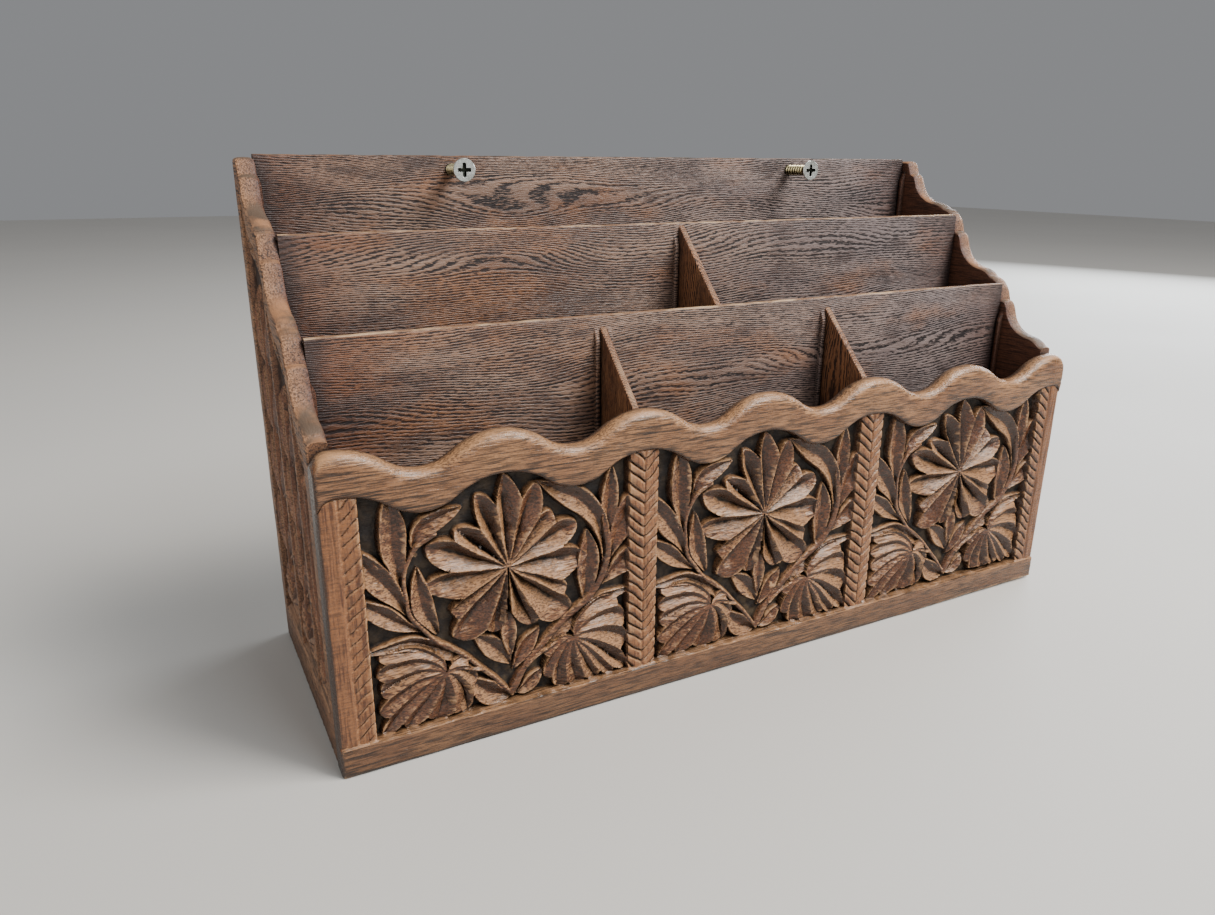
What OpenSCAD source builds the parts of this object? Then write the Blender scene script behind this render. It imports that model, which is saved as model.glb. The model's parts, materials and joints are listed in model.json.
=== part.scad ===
// Tiered desk organizer with a carved front, a stepped back and two hanging screws.
// X runs across the width, Y from the front to the back, Z up.
// The origin is the centre of the footprint, on the surface that it stands on.

/* [Overall] */
// Width over the two side panels
overall_w = 305; // [240:1:420]
// Depth from the front face of the front panel to the back face of the back board
overall_d = 101; // [92:1:160]
// Height of the crests of the wavy front rail
front_h = 102.2; // [80:0.1:150]

/* [Tiers] */
// Rise from the front rail's crests to the top of the front long divider
front_step = 26; // [12:0.1:50]
// Rise from the front long divider to the rear long divider
middle_step = 27.2; // [12:0.1:50]
// Rise from the rear long divider to the top of the back board
rear_step = 23.6; // [12:0.1:50]
// Clear depth between the back board and the rear long divider
rear_bay_d = 33; // [20:0.1:60]
// Clear depth between the two long dividers
middle_bay_d = 26.7; // [15:0.1:50]
// How far the side panels stop below the back board's top
side_below_back = 1; // [0:0.1:4]

/* [Board thicknesses] */
// Front panel at its rails
front_t = 8; // [6:0.1:12]
// Side panels
side_t = 6.3; // [5:0.1:10]
// Back board
back_t = 4; // [3:0.1:8]
// Base board
base_t = 3; // [2:0.1:6]
// Long dividers
long_t = 3; // [2:0.1:5]
// Cross dividers
cross_t = 2.5; // [2:0.1:5]

/* [Guide ribs] */
// Width of a guide rib
rib_w = 2.2; // [1.5:0.1:4]
// How far a guide rib stands out of its board
rib_d = 1.6; // [1:0.1:3]
// Gap between a divider's end and each of the two ribs that hold it
rib_gap = 0.15; // [0.05:0.01:0.4]
// How far the ribs stop below the top of the divider they hold
rib_top_gap = 4; // [1:0.1:12]

/* [Front panel] */
// Number of carved windows across the front
window_count = 3; // [2:1:4]
// Width of the upright stiles between and beside the windows
stile_w = 11.4; // [8:0.1:18]
// Height of the flat rail under the windows
base_rail_h = 10.2; // [6:0.1:18]
// Height of the wavy rail over the windows
top_rail_h = 13.2; // [8:0.1:20]
// Height difference between the rail's crests and troughs
wave_h = 8.2; // [4:0.1:12]
// How far the stiles lie behind the rails' front face
stile_set = 0.8; // [0.2:0.1:2]
// How far the carved flowers and leaves lie behind the rails' front face
motif_set = 1.4; // [0.4:0.1:3]
// Depth of the carved ground behind the rails' front face
ground_set = 5; // [3:0.1:5.5]
// Radius of the top rail's two outer corners
corner_r = 5; // [1:0.1:10]

/* [Side carving] */
// Width of the plain band below a side panel's scalloped top edge
side_band = 9; // [4:0.1:16]
// Width of the plain strips beside a side panel's sunk field
side_strip = 7; // [3:0.1:14]
// Height of the plain rail below a side panel's sunk field
side_rail_h = 14; // [6:0.1:24]
// Depth of a side panel's sunk field
side_ground_set = 2.2; // [1:0.1:3]

/* [Hanging screws] */
// Distance between the two screw holes in the back board
screw_spacing = 156; // [80:1:200]
// Distance from the back board's top to the screws' axes
screw_drop = 4.9; // [4.5:0.1:12]
// Length of a screw from the head's face to the tip
screw_len = 19; // [16:0.5:40]
// How deep the screws' tips sit in the back board
screw_bite = 3.8; // [1.5:0.1:4]
// Diameter of the screw head
head_d = 8; // [6:0.1:10]
// Diameter over the screw thread
thread_d = 4.2; // [3.5:0.1:5]
// Diameter of the thread's core
core_d = 3; // [2.2:0.1:4]
// Distance from one thread turn to the next
thread_pitch = 1.6; // [1:0.1:2.5]
// Radial clearance between a thread and its hole
screw_clearance = 0.05; // [0.02:0.01:0.3]

/* [Hidden] */

$fn = 64;

// Heights of the tiers
front_div_h = front_h + front_step;
rear_div_h = front_div_h + middle_step;
back_h = rear_div_h + rear_step;
side_h = back_h - side_below_back;

// Planes across the depth
front_y = -overall_d / 2;
back_y = overall_d / 2;
front_inner_y = front_y + front_t;
back_inner_y = back_y - back_t;
rear_div_y = back_inner_y - rear_bay_d - long_t / 2;
front_div_y = rear_div_y - middle_bay_d - long_t;

// Planes across the width
inner_x = overall_w / 2 - side_t;
window_pitch = (overall_w - stile_w) / window_count;
window_w = window_pitch - stile_w;

// The wavy rail: crests over every stile and every window's middle, arcs that
// meet at a common tangent
wave_len = window_pitch / 2;
arc_sum = ((wave_len / 2) ^ 2 + wave_h ^ 2) / (2 * wave_h);
crest_share = 0.6;
crest_r = crest_share * arc_sum;
trough_r = arc_sum - crest_r;
tangent_z = front_h - crest_r + crest_r * (arc_sum - wave_h) / arc_sum;
crest_count = 2 * window_count;
first_crest_x = -overall_w / 2 + stile_w / 2;

// The carved motif is drawn for this window and scaled to the real one
motif_window = [86.4, 70];
window_h = front_h - wave_h - top_rail_h - base_rail_h;
motif_k = min(window_w / motif_window.x, window_h / motif_window.y);

// A scallop of the side panels' top edge is drawn from one board's top to the
// next lower one's, this far in front and below, then stretched to the real steps
scallop_cell = [29.7, 27.2];
scallop_steps = 10;
lobe_back = 3.6;
scallop_tops = [
    [back_inner_y - lobe_back, back_h],
    [rear_div_y, rear_div_h],
    [front_div_y, front_div_h],
    [(front_y + front_inner_y) / 2, front_h]
];

// Tops of the cross dividers, at their rear and front ends
middle_cross_drop = 1;
front_cross_rear_drop = 4;
front_cross_front_drop = 0.7;
middle_cross_rear_h = rear_div_h - middle_cross_drop;
middle_cross_front_h = front_div_h;
front_cross_rear_h = front_div_h - front_cross_rear_drop;
front_cross_front_h = front_h - front_cross_front_drop;

// Screw head: straight rim, 82 degree cone and cross recess. The thread is laid out
// from the tip, so that its last turn is always in the back board.
rim_h = 0.5;
cone_half_angle = 41;
cone_h = (head_d - core_d) / 2 / tan(cone_half_angle);
thread_z = rim_h + cone_h;
tip_h = 2.6;
screw_proud = screw_len - screw_bite;
thread_turns = floor((screw_len - tip_h - thread_z) / thread_pitch);
first_root_z = screw_len - tip_h - thread_turns * thread_pitch;
recess_w = 1.1;
recess_l = 4.6;
recess_h = 1.6;
hole_d = thread_d + 2 * screw_clearance;

// How far a cutting shape goes past the face that it cuts
overshoot = 1;

// Points along an arc about c, from angle a0 to a1
function arc(c, r, a0, a1) = [
    for (i = [0 : scallop_steps])
        let (a = a0 + (a1 - a0) * i / scallop_steps)
        c + r * [cos(a), sin(a)]
];

// Lobe, bump, scoop and brow of one scallop, about the upper board's top
function scallop() = concat(
    arc([8, -6.9], 9.4, 60, 180),
    arc([-1.5, -11], 3.6, 95, 175),
    arc([-19.2, -7.4], 14.6, -12, -80),
    arc([-16.1, -33], 11.2, 93, 131)
);

// The scallop stretched to run from one board's top to the next one's
function fitted_scallop(from, to) =
    let (k = [(from.x - to.x) / scallop_cell.x, (from.y - to.y) / scallop_cell.y])
    [for (p = scallop()) [from.x + p.x * k.x, from.y + p.y * k.y]];

// Leaf or petal from a point along an angle, widest past its middle
module leaf(at, angle, length, width) {
    shape = [[0, 0], [0.35, 0.4], [0.7, 0.5], [1, 0], [0.7, -0.5], [0.35, -0.4]];
    translate(at)
        rotate(angle)
            polygon([for (p = shape) [p.x * length, p.y * width]]);
}

// Leaves that spread from a round eye, between two angles
module fan(at, a0, a1, count, length, width, eye_r) {
    for (i = [0 : count - 1])
        leaf(at, a0 + (a1 - a0) * i / (count - 1), length, width);
    translate(at) circle(eye_r);
}

// Ring about c, kept above the height that the stems rise to
module stem_ring(c, r, width, from_z) {
    intersection() {
        difference() {
            translate(c) circle(r + width / 2);
            translate(c) circle(r - width / 2);
        }
        translate([-r - width, from_z]) square([2 * (r + width), c.y + r / 2 - from_z]);
    }
}

// Straight band between two points
module band(a, b, width) {
    d = b - a;
    translate(a)
        rotate(atan2(d.y, d.x))
            translate([0, -width / 2])
                square([norm(d), width]);
}

// Flower in a ring of two stems, with leaves and two corner fans
module motif() {
    flower = [0, 50];
    stem_w = 3;
    ring_r = 33;
    stem_foot = [0, 3];
    ring_low = 38;
    fan(flower, 0, 330, 12, 26, 11.5, 3);
    stem_ring(flower, ring_r, stem_w, ring_low);
    for (flip = [0, 1])
        mirror([flip, 0]) {
            band(stem_foot, [31, ring_low + 1], stem_w);
            leaf([31, 52], 75, 25, 7);
            leaf([33, 46], 50, 14, 6);
            leaf([33, 44], 20, 10, 5);
            leaf([2, 6], 75, 18, 5);
            fan([22, 20], -120, 30, 7, 17, 5.5, 2);
        }
}

module front_outline() {
    intersection() {
        union() {
            difference() {
                translate([-overall_w / 2, 0]) square([overall_w, tangent_z]);
                for (i = [0 : crest_count - 1])
                    translate([first_crest_x + (i + 0.5) * wave_len, front_h - wave_h + trough_r])
                        circle(trough_r);
            }
            for (i = [0 : crest_count])
                translate([first_crest_x + i * wave_len, front_h - crest_r])
                    circle(crest_r);
        }
        union() {
            translate([-overall_w / 2, 0]) square([overall_w, front_h - corner_r]);
            translate([-overall_w / 2 + corner_r, 0])
                square([overall_w - 2 * corner_r, front_h]);
            for (side = [-1, 1])
                translate([side * (overall_w / 2 - corner_r), front_h - corner_r])
                    circle(corner_r);
        }
    }
}

// Area under the wavy rail, between the two outer edges
module under_rail() {
    translate([0, -top_rail_h]) front_outline();
}

// The stiles run up behind the wavy rail's face
module stiles() {
    for (i = [0 : window_count])
        translate([-overall_w / 2 + i * window_pitch, 0])
            square([stile_w, front_h - wave_h - top_rail_h / 2]);
}

module rails() {
    difference() {
        front_outline();
        intersection() {
            under_rail();
            translate([-overall_w / 2, base_rail_h]) square([overall_w, front_h]);
        }
    }
}

module motifs() {
    for (i = [0 : window_count - 1])
        translate([(i - (window_count - 1) / 2) * window_pitch, base_rail_h])
            scale(motif_k)
                motif();
}

// Extrudes a drawing in X and Z from the front panel's back face forwards
module front_slab(thickness) {
    translate([0, front_inner_y, 0])
        rotate([90, 0, 0])
            linear_extrude(thickness)
                children();
}

// Pair of upright ribs on a face that looks along dir, either side of x
module rib_pair_y(x, face_y, dir, thickness, top_h) {
    for (side = [-1, 1])
        translate([
            x + side * (thickness / 2 + rib_gap + rib_w / 2) - rib_w / 2,
            min(face_y, face_y + dir * rib_d),
            base_t
        ])
            cube([rib_w, rib_d, top_h - rib_top_gap - base_t]);
}

module front_panel() {
    color("#8a5a3c") {
        front_slab(front_t - ground_set) front_outline();
        front_slab(front_t - motif_set) motifs();
        front_slab(front_t - stile_set) stiles();
        front_slab(front_t) rails();
        for (side = [-1, 1])
            rib_pair_y(side * window_pitch / 2, front_inner_y, 1, cross_t,
                front_h - wave_h);
    }
}

// Side view of a side panel, Y across and Z up. Each scallop starts under the one
// behind it, and the lowest goes on past the front panel, where it is cut off.
module side_outline() {
    last = len(scallop_tops) - 1;
    ahead = 2 * scallop_tops[last] - scallop_tops[last - 1];
    ends = concat(scallop_tops, [ahead]);
    intersection() {
        for (i = [0 : last]) {
            edge = fitted_scallop(ends[i], ends[i + 1]);
            polygon(concat([[edge[0].x, 0]], edge, [[edge[len(edge) - 1].x, 0]]));
        }
        translate([front_inner_y, 0]) square([back_y - front_inner_y, side_h]);
    }
}

// Sunk field of a side panel's outer face, a band's width below its top edge
module side_field() {
    intersection() {
        translate([0, -side_band]) side_outline();
        translate([front_inner_y + side_strip, side_rail_h])
            square([back_y - front_inner_y - 2 * side_strip, side_h]);
    }
}

// Ribs in front of and behind a long divider, seen from the side
module side_ribs(board_y, board_t, top_h) {
    for (side = [-1, 1])
        translate([board_y + side * (board_t / 2 + rib_gap + rib_w / 2) - rib_w / 2, base_t])
            square([rib_w, top_h - rib_top_gap - base_t]);
}

// Extrudes a drawing in Y and Z along X, from x
module side_slab(x, thickness) {
    translate([x, 0, 0])
        rotate([90, 0, 90])
            linear_extrude(thickness)
                children();
}

// The right-hand panel; the left one is its mirror image
module side_panel() {
    difference() {
        side_slab(inner_x, side_t) side_outline();
        side_slab(overall_w / 2 - side_ground_set, side_t) side_field();
    }
    side_slab(inner_x - rib_d, rib_d)
        intersection() {
            union() {
                side_ribs(rear_div_y, long_t, rear_div_h);
                side_ribs(front_div_y, long_t, front_div_h);
                translate([back_inner_y - rib_gap - rib_w, base_t])
                    square([rib_w, side_h - rib_top_gap - base_t]);
            }
            translate([0, -rib_top_gap]) side_outline();
        }
}

module left_side_panel() {
    color("#6b4630") mirror([1, 0, 0]) side_panel();
}

module right_side_panel() {
    color("#6b4630") side_panel();
}

module back_board() {
    color("#5d4334")
        difference() {
            translate([-inner_x, back_inner_y, 0]) cube([2 * inner_x, back_t, back_h]);
            for (side = [-1, 1])
                translate([side * screw_spacing / 2, back_inner_y - overshoot, back_h - screw_drop])
                    rotate([-90, 0, 0])
                        cylinder(h = back_t + 2 * overshoot, d = hole_d);
        }
}

module base_board() {
    color("#4d3526")
        translate([-inner_x, front_inner_y, 0])
            cube([2 * inner_x, back_inner_y - front_inner_y, base_t]);
}

// Upright board across the organizer, between the side panels
module long_divider(board_y, top_h) {
    translate([-inner_x, board_y - long_t / 2, base_t])
        cube([2 * inner_x, long_t, top_h - base_t]);
}

module rear_long_divider() {
    color("#6e5444") {
        long_divider(rear_div_y, rear_div_h);
        rib_pair_y(0, rear_div_y - long_t / 2, -1, cross_t, rear_div_h);
    }
}

module front_long_divider() {
    color("#6e5444") {
        long_divider(front_div_y, front_div_h);
        rib_pair_y(0, front_div_y + long_t / 2, 1, cross_t, front_div_h);
        for (side = [-1, 1])
            rib_pair_y(side * window_pitch / 2, front_div_y - long_t / 2, -1, cross_t,
                front_div_h);
    }
}

// Small board from front to back, its top sloping down to the front
module cross_divider(x, y0, y1, front_top, rear_top) {
    side_slab(x - cross_t / 2, cross_t)
        polygon([[y0, base_t], [y1, base_t], [y1, rear_top], [y0, front_top]]);
}

module middle_cross_divider() {
    color("#a9794f")
        cross_divider(0, front_div_y + long_t / 2, rear_div_y - long_t / 2,
            middle_cross_front_h, middle_cross_rear_h);
}

module front_cross_divider(x) {
    color("#a9794f")
        cross_divider(x, front_inner_y, front_div_y - long_t / 2,
            front_cross_front_h, front_cross_rear_h);
}

module front_left_cross_divider() {
    front_cross_divider(-window_pitch / 2);
}

module front_right_cross_divider() {
    front_cross_divider(window_pitch / 2);
}

// Half section of a screw, its axis up from the head's face to the tip
module screw_section() {
    polygon(concat(
        [[0, 0], [head_d / 2, 0], [head_d / 2, rim_h], [core_d / 2, thread_z]],
        [for (i = [0 : thread_turns - 1], half = [0, 1])
            [(half == 0 ? core_d : thread_d) / 2, first_root_z + (i + half / 2) * thread_pitch]],
        [[core_d / 2, screw_len - tip_h], [0, screw_len]]
    ));
}

module hanging_screw(x) {
    color("#c9c7b8")
        translate([x, back_inner_y - screw_proud, back_h - screw_drop])
            rotate([-90, 0, 0])
                difference() {
                    rotate_extrude() screw_section();
                    for (turn = [0, 90])
                        rotate(turn)
                            translate([-recess_l / 2, -recess_w / 2, -overshoot])
                                cube([recess_l, recess_w, recess_h + overshoot]);
                }
}

module left_hanging_screw() {
    hanging_screw(-screw_spacing / 2);
}

module right_hanging_screw() {
    hanging_screw(screw_spacing / 2);
}

front_panel();
left_side_panel();
right_side_panel();
back_board();
base_board();
rear_long_divider();
front_long_divider();
middle_cross_divider();
front_left_cross_divider();
front_right_cross_divider();
left_hanging_screw();
right_hanging_screw();
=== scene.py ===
"""Looks of the tiered desk organizer: carved front and sides, grained boards, two zinc screws."""

import json
import math

import bpy
import numpy as np
from mathutils import Matrix, Vector
from mathutils.bvhtree import BVHTree

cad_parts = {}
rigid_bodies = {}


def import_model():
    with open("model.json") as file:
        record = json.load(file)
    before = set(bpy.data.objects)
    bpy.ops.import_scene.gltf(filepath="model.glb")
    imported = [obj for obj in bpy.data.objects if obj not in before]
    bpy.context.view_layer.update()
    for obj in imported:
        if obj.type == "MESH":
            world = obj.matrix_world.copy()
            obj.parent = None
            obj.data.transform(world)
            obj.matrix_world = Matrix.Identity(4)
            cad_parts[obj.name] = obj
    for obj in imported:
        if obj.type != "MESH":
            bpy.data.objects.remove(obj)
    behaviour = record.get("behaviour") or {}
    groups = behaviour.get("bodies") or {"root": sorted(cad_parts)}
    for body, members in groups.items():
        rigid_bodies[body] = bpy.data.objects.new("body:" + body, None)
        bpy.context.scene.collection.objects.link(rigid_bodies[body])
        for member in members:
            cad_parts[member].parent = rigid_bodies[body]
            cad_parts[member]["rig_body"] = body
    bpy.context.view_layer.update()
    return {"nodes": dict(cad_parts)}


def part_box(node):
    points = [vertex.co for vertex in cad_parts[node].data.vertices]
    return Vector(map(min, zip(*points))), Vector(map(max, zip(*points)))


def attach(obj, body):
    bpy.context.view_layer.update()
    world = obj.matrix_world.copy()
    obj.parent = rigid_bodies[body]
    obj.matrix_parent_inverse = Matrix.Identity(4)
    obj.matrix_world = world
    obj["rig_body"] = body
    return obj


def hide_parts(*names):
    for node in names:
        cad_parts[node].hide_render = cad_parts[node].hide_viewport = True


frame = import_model()

# Shapes below are worked out in millimetres, and the scene is in metres.
MM = 0.001
MESH_LIMIT = 190_000


def box_mm(node):
    low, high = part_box(node)
    return np.array(low) / MM, np.array(high) / MM


FRONT_LOW, FRONT_HIGH = box_mm("front_panel")
SIDE_LOW, SIDE_HIGH = box_mm("right_side_panel")
BACK_LOW, BACK_HIGH = box_mm("back_board")
BASE_LOW, BASE_HIGH = box_mm("base_board")
INNER_X = BACK_HIGH[0]
FRONT_T = BASE_LOW[1] - FRONT_LOW[1]
FRONT_W = FRONT_HIGH[0] - FRONT_LOW[0]
SIDE_T = FRONT_HIGH[0] - INNER_X
LONG_T = 3.0
DIVIDER_YS = [sum(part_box("front_long_divider"), Vector()).y / 2 / MM,
              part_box("rear_long_divider")[1].y / MM - LONG_T / 2]

# Sizes of the carved front that the frame's boxes don't give
WINDOWS = 3
STILE_W = 11.4
BASE_RAIL_H = 10.2
TOP_RAIL_H = 13.2
# How far the rails, the stiles and the ground lie behind the foremost plane
RAIL_SET, STILE_SET, GROUND_SET = 0.35, 0.8, 5.0
PITCH = (FRONT_W - STILE_W) / WINDOWS
# Guide ribs: width, depth, play beside a board, and how far below the top edge they stop
RIB_W, RIB_D, RIB_GAP, RIB_TOP_GAP = 2.2, 1.6, 0.15, 4.0
# Screws: rim, cone and tip, thread, and the recess's half width, reach and depth
RIM_H, CONE_H, TIP_H = 0.5, 2.88, 2.6
CORE_R, THREAD_R, THREAD_PITCH = 1.5, 2.1, 1.6
RECESS_W, RECESS_L, RECESS_D = 0.55, 2.3, 1.5
HOLE_R = 2.2
# Degrees up to which an edge is shaded smooth, and a board's play in its box
SMOOTH_BELOW, HAIR = 32, 0.02


# ------ shape tools

def smooth(t):
    """0 below 0, 1 above 1, and an S curve between."""
    t = np.clip(t, 0.0, 1.0)
    return t * t * (3.0 - 2.0 * t)


def inside(distance, blur=0.45):
    """1 well inside an edge and 0 well outside it, for a distance that is positive inside."""
    return smooth(distance / (2 * blur) + 0.5)


def waves(a, b, seed, size, count=14):
    """Smooth seeded ripples between -1 and 1, for bumps about `size` = (across, up) apart."""
    rng = np.random.default_rng(seed)
    total = np.zeros(np.broadcast(a, b).shape)
    for _ in range(count):
        turn = rng.uniform(0, 2 * math.pi)
        step = rng.uniform(0.6, 1.5)
        phase = rng.uniform(0, 2 * math.pi)
        place = a * math.cos(turn) / size[0] + b * math.sin(turn) / size[1]
        total += np.sin(2 * math.pi * step * place + phase)
    return np.clip(total / (1.3 * math.sqrt(count)), -1, 1)


def rippled(a, b, depth, seed, size):
    """How far a rippled face lies under its foremost plane."""
    return depth * (1 + waves(a, b, seed, size)) / 2


def curve(points, steps=8):
    """Points along a smooth line through the given ones."""
    p = np.array(points, float)
    p = np.vstack([2 * p[0] - p[1], p, 2 * p[-1] - p[-2]])
    t = np.linspace(0, 1, steps, endpoint=False)[:, None]
    parts = []
    for i in range(1, len(p) - 2):
        a, b, c, d = p[i - 1:i + 3]
        parts.append(0.5 * (2 * b + (c - a) * t + (2 * a - 5 * b + 4 * c - d) * t ** 2
                            + (3 * b - a - 3 * c + d) * t ** 3))
    return np.vstack(parts + [p[-2:-1]])


def nearest_on(line, a, b):
    """Share of the line's length and signed distance to it, for each point (a, b)."""
    best = np.full(a.shape, 1e9)
    share = np.zeros(a.shape)
    offset = np.zeros(a.shape)
    run = np.hypot(*np.diff(line, axis=0).T)
    start = np.concatenate([[0], np.cumsum(run)]) / run.sum()
    for i, length in enumerate(run):
        (x0, y0), (x1, y1) = line[i], line[i + 1]
        dx, dy = (x1 - x0) / length, (y1 - y0) / length
        along = np.clip((a - x0) * dx + (b - y0) * dy, 0, length)
        side = (b - y0) * dx - (a - x0) * dy
        gap = np.hypot(a - x0 - along * dx, b - y0 - along * dy)
        closer = gap < best
        best = np.where(closer, gap, best)
        share = np.where(closer, start[i] + along / run.sum(), share)
        offset = np.where(closer, np.copysign(gap, side), offset)
    return share, offset


class Carving:
    """A relief over points (a, b): the highest of the shapes that are added to it."""

    def __init__(self, a, b):
        self.a, self.b = a, b
        self.height = np.zeros(a.shape)

    def add(self, height):
        self.height = np.maximum(self.height, height)

    def near(self, line, margin):
        """Where the carving's points are close enough to a line for a shape on it."""
        low, high = line.min(0) - margin, line.max(0) + margin
        return (self.a > low[0]) & (self.a < high[0]) & (self.b > low[1]) & (self.b < high[1])

    def put(self, where, height):
        self.height[where] = np.maximum(self.height[where], height)

    def stem(self, points, width, height):
        """Round stem along a smooth line."""
        line = curve(points)
        where = self.near(line, width)
        _, offset = nearest_on(line, self.a[where], self.b[where])
        across = np.abs(offset) / (width / 2)
        round_top = np.sqrt(np.clip(1 - across ** 2, 0, 1))
        self.put(where, height * (0.55 + 0.45 * round_top) * inside(width / 2 - np.abs(offset)))

    def leaf(self, points, width, height, groove=0.62, fullest=0.5):
        """Leaf along a smooth line, with a groove down its middle and sharp raised edges."""
        line = curve(points)
        where = self.near(line, width)
        share, offset = nearest_on(line, self.a[where], self.b[where])
        power = math.log(0.5) / math.log(fullest)
        half = np.maximum(width / 2 * np.sin(math.pi * np.clip(share, 0, 1) ** power) ** 0.75, 0.05)
        across = np.clip(np.abs(offset) / half, 0, 1)
        shape = height * (1 - groove * (1 - across)) * (0.8 + 0.2 * np.sin(math.pi * share))
        self.put(where, shape * inside(half - np.abs(offset)))

    def rosette(self, centre, petals, height, slope, axis=0.0, closing=0.0):
        """Petals round a centre. Each has a direction, a tip radius, the angle and notch radius at
        either side of it, and the power that shapes its outline, from pointed to blunt. The petals
        of a fan start wide apart and close in on its axis."""
        da, db = self.a - centre[0], self.b - centre[1]
        radius = np.hypot(da, db)
        reach = max(p[1] for p in petals)
        where = radius < reach + 1
        radius = radius[where]
        angle = (np.degrees(np.arctan2(db[where], da[where])) - axis + 180) % 360 - 180
        angle = axis + angle * (1 - closing * (1 - np.clip(radius / reach, 0, 1)))
        shape = np.zeros(radius.shape)
        for middle, tip, after, after_r, before, before_r, power in petals:
            turned = (angle - middle + 180) % 360 - 180
            left = turned > 0
            span = np.where(left, before - middle, middle - after)
            t = np.abs(turned) / span
            notch = np.where(left, before_r, after_r)
            edge = notch + (tip - notch) * (1 - np.clip(t, 0, 1) ** power)
            shallow = 1 - 0.5 * smooth((radius / tip - 0.65) / 0.35)
            wide = np.minimum(slope * radius * np.radians(span), 0.82 * height) * shallow
            ridge = height * (1 - 0.2 * (radius / tip) ** 2)
            spoon = ridge - wide * (1 - t)
            shape = np.maximum(shape, np.where(t <= 1, spoon * inside(edge - radius), 0))
        self.put(where, shape)


def petals_between(tips, centre, notch=0.94, power=2.4):
    """Rosette petals for a fan, from their tips in order."""
    rel = np.array(tips, float) - centre
    angle = np.degrees(np.unwrap(np.arctan2(rel[:, 1], rel[:, 0])))
    radius = np.hypot(*rel.T)
    if angle[0] < angle[-1]:
        angle, radius = angle[::-1], radius[::-1]
    edges = np.concatenate([[1.5 * angle[0] - 0.5 * angle[1]], (angle[1:] + angle[:-1]) / 2,
                            [1.5 * angle[-1] - 0.5 * angle[-2]]])
    low = np.concatenate([[0], np.minimum(radius[1:], radius[:-1]), [0]]) * notch
    return [(angle[i], radius[i], edges[i + 1], low[i + 1], edges[i], low[i], power)
            for i in range(len(angle))]


# ------ the flower motif

# Petals clockwise: direction, tip radius, angle and radius of the notch after it, outline power
FLOWER = [
    (89, 29.6, 75, 22.3, 1.3), (67, 27.1, 52, 19.4, 1.9), (43, 21.9, 34.5, 20.6, 1.6),
    (21, 26.4, 9, 19.5, 2.1), (-5, 28.6, -24, 20.9, 1.2), (-30, 24.3, -35.6, 24, 1.8),
    (-43, 29.8, -63, 23.1, 2.6), (-69, 24.1, -86, 15.8, 1.8), (-100, 22.9, -109, 21.1, 1.7),
    (-128, 27.2, -138, 21.5, 2.3), (-147, 21.2, -152, 16, 1.6), (-175, 25.6, -186.5, 18, 1.5),
    (-204, 26.6, -216, 19.8, 2.0), (-223, 20.9, -241, 16.2, 1.6), (-251, 25.8, -263.5, 20.7, 1.7),
]
# Notch before the first petal, and the wider gap between two of the lower petals
FLOWER_START = (96.5, 20.7)
GAP_START, GAP_END, GAP_NOTCH = -86, -91, 18.6
# The flower's centre in the motif, and the motif's unit and place in a window, in mm
FLOWER_MIDDLE = (-0.8, -1.6)
MOTIF_UNIT = 1.0167
FLOWER_AT = (0.8, 60.0)


def flower_petals():
    """The flower's petals for a rosette, each from its notch to the one after it."""
    petals = []
    before, before_r = FLOWER_START
    for middle, tip, after, after_r, power in FLOWER:
        petals.append((middle, tip, after, after_r, before, before_r, power))
        before, before_r = after, after_r
        if after == GAP_START:
            before, before_r = GAP_END, GAP_NOTCH
    return petals


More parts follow.
